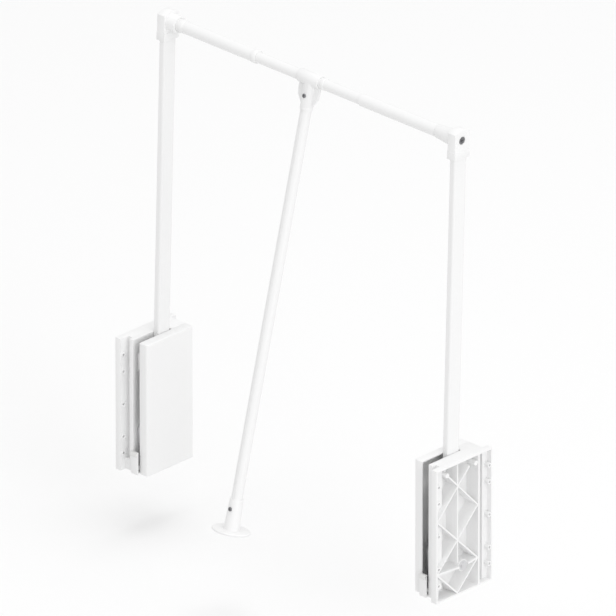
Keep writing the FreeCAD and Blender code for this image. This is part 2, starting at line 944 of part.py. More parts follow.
def arch(drawing, half, foot, shoulder, radius):
    """Straight sides from the foot to the shoulders, joined over the top by one arc."""
    rise = radius.number - math.sqrt(radius.number**2 - half.number**2)
    centre = V(0, shoulder.number + rise - radius.number, 0)
    spread = math.asin(half.number / radius.number)
    ends = [V(half.number, shoulder.number, 0), V(half.number, foot.number, 0)]
    ends += [V(-half.number, foot.number, 0), V(-half.number, shoulder.number, 0)]
    for i in range(3):
        drawing.addGeometry(Part.LineSegment(ends[i], ends[i + 1]))
    ring = Part.Circle(centre, V(0, 0, 1), radius.number)
    top = drawing.addGeometry(Part.ArcOfCircle(ring, math.pi / 2 - spread, math.pi / 2 + spread))
    for i in range(2):
        drawing.addConstraint(Sketcher.Constraint("Coincident", i, 2, i + 1, 1))
    drawing.addConstraint(Sketcher.Constraint("Coincident", 2, 2, top, 2))
    drawing.addConstraint(Sketcher.Constraint("Coincident", 0, 1, top, 1))
    for line, point, y, z in ((0, 1, half, shoulder), (0, 2, half, foot), (2, 1, -half, foot), (2, 2, -half, shoulder)):
        hold(drawing, "DistanceX", line, point, y)
        hold(drawing, "DistanceY", line, point, z)
    hold(drawing, "Radius", top, 0, radius)


def make_head(name, with_boss):
    """An arched socket over the arm's top, with a screw recess outside and the rod's seat inside."""
    body = new_body(name)
    half = size["head_depth"] / 2
    step = size["head_band_step"]
    foot = arm_length - size["head_drop"]
    drawing = sketch(body, "YZ_Plane", -half_head)
    arch(drawing, half, foot, arm_length + size["head_shoulder"], size["head_crown"])
    pad(body, drawing, size["head_thickness"])
    drawing = sketch(body, "YZ_Plane", -half_head - step)
    rectangle(drawing, -half - step, foot, half + step, foot + size["head_band"])
    pad(body, drawing, size["head_thickness"] + 2 * step)
    if with_boss:
        drawing = sketch(body, "YZ_Plane", half_head)
        circle(drawing, 0, arm_length, size["boss"])
        pad(body, drawing, size["boss_length"])
    gap = size["seat_gap"]
    drawing = sketch(body, "XY_Plane", foot)
    rectangle(drawing, -half_thick - gap, -half_arm - gap, half_thick + gap, half_arm + gap)
    pocket(body, drawing, size["head_socket"])
    drawing = sketch(body, "YZ_Plane", half_head - 3)
    circle(drawing, 0, arm_length, size["outer_rod"] + gap)
    pocket(body, drawing, size["boss_length"] + 3)
    drawing = sketch(body, "YZ_Plane", -half_head)
    circle(drawing, 0, arm_length, size["screw_recess"])
    pocket(body, drawing, 4)
    drawing = sketch(body, "YZ_Plane", -half_head)
    circle(drawing, 0, arm_length, head_screw + gap)
    pocket(body, drawing, size["head_thickness"])
    return arm_frame(body)


head_screw = Size(3, "3")


def make_head_screw(name):
    """A pan-head screw in the head's recess, with a cross slot."""
    body = new_body(name)
    floor = 4 - half_head
    drawing = sketch(body, "YZ_Plane", floor)
    circle(drawing, 0, arm_length, head_screw)
    pad(body, drawing, 30)
    drawing = sketch(body, "YZ_Plane", floor - 3)
    circle(drawing, 0, arm_length, size["screw_recess"] - 1)
    pad(body, drawing, 3)
    drawing = sketch(body, "YZ_Plane", floor - 3)
    for across, up in ((4.0, 0.7), (0.7, 4.0)):
        half = Size(across, str(across))
        rectangle(drawing, -half, arm_length - up, half, arm_length + up)
        pocket(body, drawing, 1.6)
        drawing = sketch(body, "YZ_Plane", floor - 3)
    body.removeObject(drawing)
    doc.removeObject(drawing.Name)
    return arm_frame(body)


def make_rod_plug(name, bore):
    body = new_body(name)
    drawing = sketch(body, "YZ_Plane", rod_seat)
    circle(drawing, 0, arm_length, bore - size["seat_gap"])
    circle(drawing, 0, arm_length, head_screw + size["seat_gap"])
    pad(body, drawing, 26)
    return arm_frame(body)


def make_collar(name, x, width, tube, lip_bore=None):
    """A ring on a tube, with an optional lip that closes the tube's end down to a bore."""
    body = new_body(name)
    radius = tube + size["collar_wall"]
    drawing = sketch(body, "YZ_Plane", x)
    circle(drawing, 0, arm_length, radius)
    circle(drawing, 0, arm_length, tube + size["seat_gap"])
    pad(body, drawing, width)
    if lip_bore is not None:
        drawing = sketch(body, "YZ_Plane", x + width)
        circle(drawing, 0, arm_length, radius - 0.3)
        circle(drawing, 0, arm_length, lip_bore)
        pad(body, drawing, 2)
    return arm_frame(body)


def make_cone():
    """The tapered sleeve at the right-hand head."""
    body = new_body("rod_sleeve")
    drawing = sketch(body, "XZ_Plane")
    bore = size["outer_rod"] + size["seat_gap"]
    tip = size["outer_rod"] + size["collar_wall"]
    start = half_head
    end = half_head + size["cone_length"]
    outline(
        drawing,
        [
            (bore, start),
            (size["boss"], start),
            (size["boss"] - 0.5, start + 6),
            (tip, end),
            (bore, end),
        ],
    )
    revolve(body, drawing)
    body.Placement = FreeCAD.Placement(V(0, 0, 0), FreeCAD.Rotation(V(0, 1, 0), 90))
    return place(body, arm_plane, rod_y, rod_z)


# ---------------------------------------------------------------- pull rod


def make_t_connector():
    """A sleeve round the rod, a domed neck for the pull tube and a web on each side."""
    body = new_body("t_connector")
    half = size["sleeve_length"] / 2
    drawing = sketch(body, "XY_Plane", -size["neck_length"])
    circle(drawing, 0, 0, size["neck"])
    pad(body, drawing, size["neck_length"])
    drawing = sketch(body, "XZ_Plane")
    dome = drawing.addGeometry(
        Part.ArcOfCircle(Part.Circle(V(0, 0, 0), V(0, 0, 1), size["neck"].number), 0, math.pi / 2)
    )
    upright = drawing.addGeometry(Part.LineSegment(V(0, size["neck"].number, 0), V(0, 0, 0)))
    across = drawing.addGeometry(Part.LineSegment(V(0, 0, 0), V(size["neck"].number, 0, 0)))
    drawing.addConstraint(Sketcher.Constraint("Coincident", dome, 2, upright, 1))
    drawing.addConstraint(Sketcher.Constraint("Coincident", upright, 2, across, 1))
    drawing.addConstraint(Sketcher.Constraint("Coincident", across, 2, dome, 1))
    drawing.addConstraint(Sketcher.Constraint("Coincident", dome, 3, -1, 1))
    drawing.addConstraint(Sketcher.Constraint("Coincident", upright, 2, -1, 1))
    drawing.addConstraint(Sketcher.Constraint("Vertical", upright))
    drawing.addConstraint(Sketcher.Constraint("Horizontal", across))
    hold(drawing, "Radius", dome, 0, size["neck"])
    revolve(body, drawing)
    drawing = sketch(body, "YZ_Plane", -half)
    circle(drawing, 0, 0, size["sleeve"])
    pad(body, drawing, size["sleeve_length"])
    drawing = sketch(body, "XZ_Plane", -size["web"] / 2)
    drop = size["neck_length"]
    neck = size["neck"]
    left_side = [(-half, -0.44 * drop), (1.5 - half, -0.66 * drop), (-neck - 4, -0.86 * drop)]
    foot = [(-neck + 0.2, 3 - drop), (neck - 0.2, 3 - drop)]
    right_side = [(neck + 4, -0.86 * drop), (half - 1.5, -0.66 * drop), (half, -0.44 * drop)]
    outline(drawing, [(-half, 0)] + left_side + foot + right_side + [(half, 0)])
    pad(body, drawing, size["web"])
    drawing = sketch(body, "YZ_Plane", -half)
    circle(drawing, 0, 0, size["middle_rod"] + size["slide_gap"])
    pocket(body, drawing, size["sleeve_length"])
    drawing = sketch(body, "XY_Plane", -size["neck_length"])
    circle(drawing, 0, 0, size["pull_tube"] + size["seat_gap"])
    pocket(body, drawing, size["neck_length"] - tube_stop)
    drawing = sketch(body, "XZ_Plane")
    circle(drawing, 0, -t_screw_drop, pull_screw + size["seat_gap"])
    pocket(body, drawing, size["neck"] + 1)
    spot_face(body, -t_screw_drop, size["neck"])
    return pull_frame(body)


def spot_face(body, z, radius):
    """The flat that a pull rod screw's head sits on, cut into a round surface."""
    drawing = sketch(body, "XZ_Plane", radius - screw_sink)
    circle(drawing, 0, z, screw_cap + size["seat_gap"])
    pocket(body, drawing, 4)


pull_screw = size["pull_screw"]
screw_cap = 1.7 * pull_screw
screw_sink = Size(0.4, "0.4")
tube_stop = size["sleeve"] + 2
t_screw_drop = size["neck_screw_drop"]
handle_z = -size["pull_length"]
socket_z = handle_z + size["disc_thickness"] + size["socket_length"]
handle_screw_z = socket_z - size["handle_screw_drop"]


def pull_screw_part(name, z, radius):
    """A screw from the front into the pull tube, with a domed round head."""
    body = new_body(name)
    drawing = sketch(body, "XZ_Plane", radius - size["pull_tube_wall"] - 4)
    circle(drawing, 0, z, pull_screw)
    pad(body, drawing, size["pull_tube_wall"] + 4)
    drawing = sketch(body, "XZ_Plane", radius - screw_sink)
    circle(drawing, 0, z, screw_cap)
    pad(body, drawing, screw_sink + 1.5)
    fillet(body, 1.0, lambda edge: near(edge.BoundBox.YMin, 0 - radius - 1.5) and near(edge.BoundBox.YLength, 0))
    return pull_frame(body)


def make_pull_tube():
    body = new_body("pull_tube")
    foot = handle_z + size["disc_thickness"] + 6
    drawing = sketch(body, "XY_Plane", foot)
    circle(drawing, 0, 0, size["pull_tube"])
    circle(drawing, 0, 0, size["pull_tube"] - size["pull_tube_wall"])
    pad(body, drawing, -tube_stop - foot)
    for z in (-t_screw_drop, handle_screw_z):
        drawing = sketch(body, "XZ_Plane")
        circle(drawing, 0, z, pull_screw + size["seat_gap"])
        pocket(body, drawing, size["pull_tube"] + 1)
    return pull_frame(body)


def make_ferrule():
    """The thin ring that finishes the T-connector's neck."""
    body = new_body("neck_ring")
    drawing = sketch(body, "XY_Plane", -size["neck_length"] - size["ferrule"])
    circle(drawing, 0, 0, size["neck"] - 0.4)
    circle(drawing, 0, 0, size["pull_tube"] + size["seat_gap"])
    pad(body, drawing, size["ferrule"])
    return pull_frame(body)


def make_handle():
    """A tapered socket on a round disc."""
    body = new_body("handle")
    drawing = sketch(body, "XZ_Plane")
    base = handle_z
    top = handle_z + size["disc_thickness"]
    soft = size["disc_thickness"] * 0.3
    bore = size["pull_tube"] + size["seat_gap"]
    outline(
        drawing,
        [
            (0, base),
            (size["disc"] - soft, base),
            (size["disc"], base + soft),
            (size["disc"], top - soft),
            (size["disc"] - soft, top),
            (size["socket_foot"], top),
            (size["socket_top"], socket_z),
            (bore, socket_z),
            (bore, top + 6),
            (0, top + 6),
        ],
    )
    revolve(body, drawing)
    drawing = sketch(body, "XZ_Plane")
    circle(drawing, 0, handle_screw_z, pull_screw + size["seat_gap"])
    pocket(body, drawing, size["socket_foot"] + 1)
    spot_face(body, handle_screw_z, handle_screw_radius)
    return pull_frame(body)


socket_slope = (size["socket_foot"] - size["socket_top"]) / size["socket_length"]
handle_screw_radius = size["socket_top"] + size["handle_screw_drop"] * socket_slope


# ---------------------------------------------------------------- assembly

outer_bore = size["middle_rod"] + size["slide_gap"]
middle_bore = size["middle_rod"] - size["middle_rod_wall"]
left_rod_end = rod_centre - size["left_rod_reach"]
right_rod_end = rod_centre - size["right_rod_reach"]
middle_start = left_rod_end - size["tube_overlap"]
middle_end = rod_centre + size["right_rod_reach"] + size["tube_overlap"]

fixed = [
    make_base(),
    make_cover(),
    make_cover_screws(),
    make_axle(),
    make_axle_clip(),
    make_lip_buffer(),
    make_rest_buffer(),
    make_spring_cylinder(),
    make_spring_clamp(),
    make_spring_rod(),
    make_piston(),
    make_yoke(),
    make_knuckle(),
    make_bushes(),
    pin_in_arm("left_crank_pin", crank_y, crank_z, size["crank_pin"], half_thick),
    pin_in_arm(
        "left_crank_roller",
        crank_y,
        crank_z,
        size["roller"],
        size["fork_gap"] / 2 - 0.2,
        size["crank_pin"] + size["running_gap"],
    ),
    pin_in_arm("left_arm_pin", 0, pin_z, size["arm_pin"], half_thick),
    make_arm_tube(),
    make_head_screw("left_head_screw"),
]
for piece in fixed:
    keep(piece, piece.Name)
    twin_name = piece.Name.replace("left_", "right_")
    twin = doc.addObject("Part::Mirroring", twin_name)
    twin.Source = piece
    twin.Normal = V(1, 0, 0)
    bind(twin, "Base.x", middle)
    keep(twin, twin_name)


def mirrored(source, label):
    twin = doc.addObject("Part::Mirroring", label)
    twin.Source = source
    twin.Normal = V(1, 0, 0)
    bind(twin, "Base.x", middle)
    return keep(twin, label)


keep(make_head("left_head", True), "left_head")
mirrored(make_head("plain_head", False), "right_head")
keep(tube_along_x("left_rod_tube", size["outer_rod"], outer_bore, (rod_seat, left_rod_end)), "left_rod_tube")
keep(make_rod_plug("left_rod_plug", outer_bore), "left_rod_plug")
head_collar_x = half_head + size["boss_length"] + size["head_collar_step"]
head_collar = make_collar("head_collar", head_collar_x, size["head_collar_width"], size["outer_rod"])
keep(head_collar, "head_collar")
width = size["collar_width"]
keep(
    make_collar("left_rod_collar", left_rod_end - width, width, size["outer_rod"], outer_bore),
    "left_rod_collar",
)
keep(
    tube_along_x("middle_rod_tube", size["middle_rod"], middle_bore, (middle_start, middle_end)),
    "middle_rod_tube",
)
stop_collar_x = rod_centre + size["stop_collar_place"]
keep(make_collar("stop_collar", stop_collar_x, width, size["middle_rod"]), "stop_collar")
right_tube = tube_along_x("plain_rod_tube", size["outer_rod"], outer_bore, (rod_seat, right_rod_end))
mirrored(right_tube, "right_rod_tube")
mirrored(make_rod_plug("plain_rod_plug", outer_bore), "right_rod_plug")
mirrored(make_cone(), "right_rod_sleeve")

keep(make_t_connector(), "t_connector")
keep(pull_screw_part("t_screw", -t_screw_drop, size["neck"]), "t_screw")
keep(make_pull_tube(), "pull_tube")
keep(make_ferrule(), "neck_ring")
keep(make_handle(), "handle")
keep(pull_screw_part("handle_screw", handle_screw_z, handle_screw_radius), "handle_screw")

# ---------------------------------------------------------------- build, check, write

doc.recompute()
for thing in doc.Objects:
    if "Invalid" in thing.State or "Error" in thing.State:
        raise RuntimeError(f"{thing.Name} ({thing.Label}) did not build: {thing.State}")

os.makedirs("parts", exist_ok=True)
for piece in parts:
    shape = piece.Shape
    if shape.isNull() or not shape.isValid() or not shape.Solids:
        raise RuntimeError(f"{piece.Label} has no valid solid")
    shape.exportStep(f"parts/{piece.Label}.step")
    print(f"{piece.Label}: {len(shape.Solids)} solid(s), {shape.Volume / 1000:.2f} cm3")
print(len(parts), "nodes")
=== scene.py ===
# %% [markdown]
# # A pull down closet rod, dressed for a studio picture
# The frame is the finished mechanism: two wall units, two arms, a telescopic rod and a pull rod.
# Lengths are in metres, with X along the rod, Z up and the user standing on the -Y side.
# The steps are: load the frame and keep its box, make the finishes, round the edges of the
# mouldings, cut the slots of two screws, then set the floor, the world, the lamps and the camera.

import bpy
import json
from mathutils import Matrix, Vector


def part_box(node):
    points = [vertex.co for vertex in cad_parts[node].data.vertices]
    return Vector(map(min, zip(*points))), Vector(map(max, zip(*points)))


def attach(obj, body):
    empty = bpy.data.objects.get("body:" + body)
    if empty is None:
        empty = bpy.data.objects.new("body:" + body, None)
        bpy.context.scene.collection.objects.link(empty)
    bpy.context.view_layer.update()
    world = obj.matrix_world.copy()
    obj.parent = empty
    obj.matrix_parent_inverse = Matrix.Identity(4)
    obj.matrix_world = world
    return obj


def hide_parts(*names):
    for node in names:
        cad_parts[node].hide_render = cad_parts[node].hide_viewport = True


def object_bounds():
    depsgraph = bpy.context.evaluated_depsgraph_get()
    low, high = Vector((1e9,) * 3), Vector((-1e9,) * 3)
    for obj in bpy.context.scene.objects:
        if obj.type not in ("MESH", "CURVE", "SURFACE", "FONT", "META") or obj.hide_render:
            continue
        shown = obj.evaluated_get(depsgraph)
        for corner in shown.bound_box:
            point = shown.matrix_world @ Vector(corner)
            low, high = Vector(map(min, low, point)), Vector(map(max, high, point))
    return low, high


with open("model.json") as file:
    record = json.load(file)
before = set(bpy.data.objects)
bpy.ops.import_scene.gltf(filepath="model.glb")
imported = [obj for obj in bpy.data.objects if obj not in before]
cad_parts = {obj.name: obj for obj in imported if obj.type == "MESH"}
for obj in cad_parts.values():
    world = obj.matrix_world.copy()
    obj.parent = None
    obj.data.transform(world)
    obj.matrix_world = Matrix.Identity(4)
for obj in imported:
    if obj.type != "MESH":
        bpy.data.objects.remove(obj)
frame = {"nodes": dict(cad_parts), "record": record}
cad_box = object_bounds()

# %% Modules and the unit of length
import json
import math

import bpy
from mathutils import Matrix, Vector

MM = 0.001
print("box, in mm:", [[round(v / MM, 1) for v in corner] for corner in cad_box])

# %% [markdown]
# ## Shader maths
# A finish is a small sum: a base value plus or minus some grain. It could be wired up node by
# node, but that hides the sum in a long list. Here one class wraps a socket, so that plain
# Python operators add the Math nodes, and a second one holds the node tree and fills its sockets.

# %% A socket that can be added to, subtracted from and multiplied
class Wire:
    def __init__(self, shader, socket):
        self.shader = shader
        self.socket = socket

    def maths(self, operation, first, second):
        return self.shader.node("ShaderNodeMath", {"operation": operation}, {0: first, 1: second})

    def __radd__(self, number):
        return self.maths("ADD", number, self)

    def __sub__(self, number):
        return self.maths("SUBTRACT", self, number)

    def __rmul__(self, number):
        return self.maths("MULTIPLY", number, self)


print("wire ready")

# %% A node tree with one surface
class Shader:
    """The nodes of a material or of the world."""

    def __init__(self, owner, surface):
        owner.use_nodes = True
        self.owner = owner
        self.tree = owner.node_tree
        self.surface = self.tree.nodes[surface]

    def feed(self, socket, value):
        if isinstance(value, Wire):
            self.tree.links.new(value.socket, socket)
        else:
            socket.default_value = value

    def node(self, kind, settings=None, inputs=None, output=0):
        """Adds a node and returns the wire that leaves it."""
        made = self.tree.nodes.new(kind)
        for name, value in (settings or {}).items():
            setattr(made, name, value)
        for name, value in (inputs or {}).items():
            self.feed(made.inputs[name], value)
        return Wire(self, made.outputs[output])

    def set(self, **values):
        """Feeds the surface's own sockets and returns what the tree belongs to."""
        for name, value in values.items():
            self.feed(self.surface.inputs[name.replace("_", " ")], value)
        return self.owner


def new_finish(name):
    return Shader(bpy.data.materials.new(name), "Principled BSDF")


print("shader ready")

# %% [markdown]
# ## Finishes
# The mouldings are white ABS with a fine spark-eroded grain, which breaks up the highlight.
# The tubes are steel with a smooth white lacquer, so their highlight is longer and cleaner.
# Painted maps could do this too, but grain from noise needs no unwrapping and has the same size
# on every piece. It reads Object coordinates, and all the pieces have their origin at the
# frame's, so it stays on the piece when the piece moves.

# %% Grain, relief and tint
def grain(shader, size, detail):
    """Even noise with features of about that size."""
    return shader.node(
        "ShaderNodeTexNoise",
        {"noise_dimensions": "3D"},
        {
            "Vector": shader.node("ShaderNodeTexCoord", output="Object"),
            "Scale": 1.0 / size,
            "Detail": detail,
            "Roughness": 0.5,
        },
    )


def relief(shader, height, depth, strength):
    """A bump of that depth, in metres."""
    return shader.node(
        "ShaderNodeBump", None, {"Height": height, "Distance": depth, "Strength": strength}
    )


# The Mix node keeps a set of sockets for each kind of value, so its colours go by number.
MIX_FACTOR, MIX_FIRST_COLOUR, MIX_SECOND_COLOUR, MIX_COLOUR_OUT = 0, 6, 7, 2


def tint(shader, mask, share, shade):
    """The shade, darkened to that share of itself where the mask is low."""
    dark = [share * c for c in shade]
    return shader.node(
        "ShaderNodeMix",
        {"data_type": "RGBA"},
        {MIX_FACTOR: mask, MIX_FIRST_COLOUR: (*dark, 1.0), MIX_SECOND_COLOUR: (*shade, 1.0)},
        output=MIX_COLOUR_OUT,
    )


print("grain, relief and tint ready")

# %% White mouldings and fittings
MOULD_GRAIN = 0.9 * MM


def white_plastic(name, shade, rough):
    shader = new_finish(name)
    cloud = grain(shader, 60 * MM, 3.0)
    fine = grain(shader, MOULD_GRAIN, 2.0)
    return shader.set(
        Base_Color=tint(shader, cloud, 0.975, shade),
        Roughness=rough + 0.10 * (fine - 0.5),
        Normal=relief(shader, fine, 0.02 * MM, 0.5),
    )


finishes = {
    "white_moulding": white_plastic("white_moulding", (0.87, 0.87, 0.87), 0.46),
    "white_fittings": white_plastic("white_fittings", (0.86, 0.86, 0.86), 0.42),
}
print("plastics:", ", ".join(finishes))

# %% White lacquer on the tubes
def lacquer(name, shade, rough):
    """A paint with a clear coat and the faint unevenness called orange peel."""
    shader = new_finish(name)
    peel = grain(shader, 3.5 * MM, 1.0)
    cloud = grain(shader, 80 * MM, 2.0)
    return shader.set(
        Base_Color=tint(shader, cloud, 0.98, shade),
        Roughness=rough + 0.06 * (cloud - 0.5),
        Normal=relief(shader, peel, 0.01 * MM, 0.4),
        Coat_Weight=0.15,
        Coat_Roughness=0.12,
    )


finishes["white_lacquer"] = lacquer("white_lacquer", (0.86, 0.86, 0.86), 0.34)
print("lacquer:", finishes["white_lacquer"].name)

# %% Zinc-plated steel, bright and dark
def metal(name, shade, rough, brush):
    shader = new_finish(name)
    marks = grain(shader, brush, 3.0)
    return shader.set(
        Base_Color=tint(shader, marks, 0.85, shade),
        Metallic=1.0,
        Roughness=rough + 0.16 * (marks - 0.5),
        Normal=relief(shader, marks, 0.02 * MM, 0.3),
    )


finishes["steel"] = metal("steel", (0.80, 0.80, 0.81), 0.42, 1.6 * MM)
finishes["dark_screw"] = metal("dark_screw", (0.26, 0.26, 0.27), 0.42, 1.2 * MM)
print("metals: steel, dark_screw")

# %% Enamel, acetal and the soft buffers
def plain(name, shade, rough, grain_size):
    shader = new_finish(name)
    fine = grain(shader, grain_size, 2.0)
    return shader.set(
        Base_Color=tint(shader, fine, 0.93, shade),
        Roughness=rough + 0.12 * (fine - 0.5),
        Normal=relief(shader, fine, 0.03 * MM, 0.5),
    )


finishes["spring_black"] = plain("spring_black", (0.030, 0.031, 0.034), 0.32, 2.0 * MM)
finishes["grey_polymer"] = plain("grey_polymer", (0.42, 0.42, 0.41), 0.50, 1.0 * MM)
finishes["soft_buffer"] = plain("soft_buffer", (0.80, 0.80, 0.79), 0.62, 0.8 * MM)
print("finishes:", len(finishes))

# %% Every node takes the finish of its slot
slot_of = {part["node"]: part["material_slot"] for part in frame["record"]["subparts"]}
for name, node in frame["nodes"].items():
    node.data.materials.clear()
    node.data.materials.append(finishes[slot_of[name]])
print("finished nodes:", len(slot_of))

# %% [markdown]
# ## Rounded edges
# No injection moulding has a sharp edge: the tool leaves a radius of a few tenths of a
# millimetre, and in studio light that radius draws a thin bright line. The solids are sharp.
# Each visible moulding could be modelled again, but its form is already right. So a copy of it
# is merged, its triangles are joined back into flat faces, and a Bevel modifier rounds every
# edge that turns far enough. The copy then stands for the solid.

# %% The bodies, and the copy of a solid
SHARP = math.radians(35)
NEARLY_FLAT = math.radians(0.5)
SAME_PLACE = 0.002 * MM
groups = frame["record"]["behaviour"]["bodies"]
body_of = {node: body for body, names in groups.items() for node in names}


def select_only(piece):
    bpy.ops.object.select_all(action="DESELECT")
    bpy.context.view_layer.objects.active = piece
    piece.select_set(True)


def joined_copy(node, name):
    """A copy of a solid's mesh with its points merged and its flat faces made whole."""
    piece = bpy.data.objects.new(name, frame["nodes"][node].data.copy())
    bpy.context.scene.collection.objects.link(piece)
    select_only(piece)
    bpy.ops.object.mode_set(mode="EDIT")
    bpy.ops.mesh.select_all(action="SELECT")
    bpy.ops.mesh.remove_doubles(threshold=SAME_PLACE)
    bpy.ops.mesh.dissolve_limited(angle_limit=NEARLY_FLAT)
    bpy.ops.object.mode_set(mode="OBJECT")
    return piece


def stands_for(piece, node):
    """The piece takes the node's place: its body, its slot and its finish."""
    piece.data.materials.clear()
    piece.data.materials.append(finishes[slot_of[node]])
    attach(piece, body_of[node])
    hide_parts(node)


print("bodies:", len(groups))

# %% [markdown]
# ## Edges that stay sharp
# Where a ring or a socket closes on a tube there is no gap to see, and a rounded edge would cut
# a false groove there. So the Bevel modifier goes by edge weights and not by angle alone: every
# sharp edge gets a weight, apart from those that lie on a seat, which is a line with a radius.

# %% Edge weights
SEAT_PLAY = (-0.1 * MM, 0.3 * MM)


def on_seat(place, seats):
    gaps = [(place - point).cross(along).length - radius for (point, along), radius in seats]
    return any(SEAT_PLAY[0] < gap < SEAT_PLAY[1] for gap in gaps)


def weigh_edges(piece, seats):
    """Marks every sharp edge for rounding, apart from a bore's where it closes on its tube."""
    mesh = piece.data
    select_only(piece)
    bpy.context.tool_settings.mesh_select_mode = (False, True, False)
    bpy.ops.object.mode_set(mode="EDIT")
    bpy.ops.mesh.select_all(action="DESELECT")
    bpy.ops.mesh.edges_select_sharp(sharpness=SHARP)
    bpy.ops.object.mode_set(mode="OBJECT")
    weights = mesh.attributes.new("bevel_weight_edge", "FLOAT", "EDGE")
    for edge in mesh.edges:
        seated = all(on_seat(mesh.vertices[k].co, seats) for k in edge.vertices)
        weights.data[edge.index].value = float(edge.select and not seated)


print("seat play, in mm:", [round(v / MM, 1) for v in SEAT_PLAY])

# %% The Bevel modifier, applied
def round_edges(piece, radius, seats=()):
    weigh_edges(piece, seats)
    bevel = piece.modifiers.new("edges", "BEVEL")
    bevel.width = radius
    bevel.segments = 2
    bevel.limit_method = "WEIGHT"
    bevel.use_clamp_overlap = True
    bpy.ops.object.modifier_apply(modifier=bevel.name)


def settle(piece, node):
    """Smooths the round surfaces, keeps the sharp edges, and puts the piece in the node's place."""
    bpy.ops.object.shade_smooth_by_angle(angle=SHARP)
    stands_for(piece, node)
    print(piece.name, len(piece.data.polygons), "faces")


print("rounding ready")

# %% The mouldings of both side units
edge_radius = {
    "base": 0.35 * MM,
    "cover": 0.4 * MM,
    "head": 0.6 * MM,
    "lip_buffer": 0.6 * MM,
    "knuckle": 0.6 * MM,
}
for side in ("left", "right"):
    for part, radius in edge_radius.items():
        node = f"{side}_{part}"
        piece = joined_copy(node, node + "_moulded")
        round_edges(piece, radius)
        settle(piece, node)

# %% [markdown]
# ## Round pieces
# The rod, its rings and sleeve, the pull tube and the handle are all turned about one of two
# lines, and their solids come as long thin facets. Seen through a long lens those facets show as
# flats and shade badly at the joints. New cylinders would lose the holes and slots. So the tubes
# are cut across at even steps, each facet of a round surface is divided in three, and the new
# points are set on the circle that the old ones lie on.

# %% The two lines that the round pieces are turned about
def middle(node):
    low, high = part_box(node)
    return (Vector(low) + Vector(high)) / 2


rod_line = (middle("middle_rod_tube"), Vector((1.0, 0.0, 0.0)))
pull_line = (middle("neck_ring"), (middle("neck_ring") - middle("pull_tube")).normalized())
for name, (point, along) in (("rod", rod_line), ("pull rod", pull_line)):
    print(name, [round(v / MM, 2) for v in point], [round(v, 4) for v in along])

# %% Cuts across a long piece
PITCH = 20 * MM


def sliced(piece, line):
    point, along = line
    steps = [(vertex.co - point).dot(along) for vertex in piece.data.vertices]
    low, high = min(steps), max(steps)
    count = int((high - low) / PITCH)
    select_only(piece)
    bpy.ops.object.mode_set(mode="EDIT")
    for k in range(1, count + 1):
        place = point + along * (low + k * (high - low) / (count + 1))
        bpy.ops.mesh.select_all(action="SELECT")
        bpy.ops.mesh.bisect(plane_co=place, plane_no=along)
    bpy.ops.object.mode_set(mode="OBJECT")
    print(piece.name, "cut across", count, "times")


print("pitch, in mm:", round(PITCH / MM))

# %% The edges that run round a line
STEP = 0.01 * MM
SAME_RADIUS = 0.004 * MM
LONGEST_FACET = 0.6  # as a share of the radius; a longer edge isn't a facet of a round surface


def measured(place, line):
    """Counts a point's steps along the line, and gives its radius and its foot on the line."""
    point, along = line
    distance = (place - point).dot(along)
    foot = point + along * distance
    return round(distance / STEP), (place - foot).length, foot


def select_round_edges(mesh, line):
    """Selects the edges round the line, and returns the radii that they have at each step."""
    places = [measured(vertex.co, line) for vertex in mesh.vertices]
    for layer in (mesh.polygons, mesh.vertices):
        layer.foreach_set("select", [False] * len(layer))
    rings = {}
    for edge in mesh.edges:
        (step, radius, _), (other_step, other_radius, _) = (places[k] for k in edge.vertices)
        first, second = (mesh.vertices[k].co for k in edge.vertices)
        level = abs(step - other_step) <= 1 and abs(radius - other_radius) < SAME_RADIUS
        edge.select = level and (first - second).length < LONGEST_FACET * radius
        if edge.select:
            for near in (step - 1, step, step + 1):
                rings.setdefault(near, set()).add(radius)
    return rings


print("step along a line, in mm:", round(STEP / MM, 3))

# %% Finer facets
CUTS = 2
HAIR = 0.0001 * MM


def finer_rounds(piece, line):
    """Divides the facets round the line, and sets the new points on the nearest circle outside."""
    mesh = piece.data
    count = len(mesh.vertices)
    rings = select_round_edges(mesh, line)
    select_only(piece)
    bpy.context.tool_settings.mesh_select_mode = (False, True, False)
    bpy.ops.object.mode_set(mode="EDIT")
    bpy.ops.mesh.subdivide(number_cuts=CUTS)
    bpy.ops.object.mode_set(mode="OBJECT")
    for vertex in mesh.vertices[count:]:
        step, radius, foot = measured(vertex.co, line)
        wider = [ring for ring in rings.get(step, ()) if ring > radius - HAIR]
        if wider:
            vertex.co = foot + (vertex.co - foot) * (min(wider) / radius)
    print(piece.name, "new points:", len(mesh.vertices) - count)


print("cuts in each facet:", CUTS)

# %% The seats that the rings and sockets close on
def turned_radius(node, line):
    """How far the node's outermost point lies from the line."""
    point, along = line
    return max((v.co - point).cross(along).length for v in frame["nodes"][node].data.vertices)


seats = [
    (rod_line, turned_radius("middle_rod_tube", rod_line)),
    (rod_line, turned_radius("left_rod_tube", rod_line)),
    (pull_line, turned_radius("pull_tube", pull_line)),
]
print("tube radii, in mm:", [round(radius / MM, 2) for _, radius in seats])

# %% Each round piece's edge radius and lines
turned = {
    "head_collar": (0.5 * MM, [rod_line]),
    "left_rod_collar": (0.4 * MM, [rod_line]),
    "stop_collar": (0.4 * MM, [rod_line]),
    "right_rod_sleeve": (0.5 * MM, [rod_line]),
    "left_rod_tube": (0, [rod_line]),
    "middle_rod_tube": (0, [rod_line]),
    "right_rod_tube": (0, [rod_line]),
    "t_connector": (0.8 * MM, [rod_line, pull_line]),
    "neck_ring": (0.4 * MM, [pull_line]),
    "pull_tube": (0, [pull_line]),
    "handle": (0.5 * MM, [pull_line]),
}
print("round pieces:", len(turned))

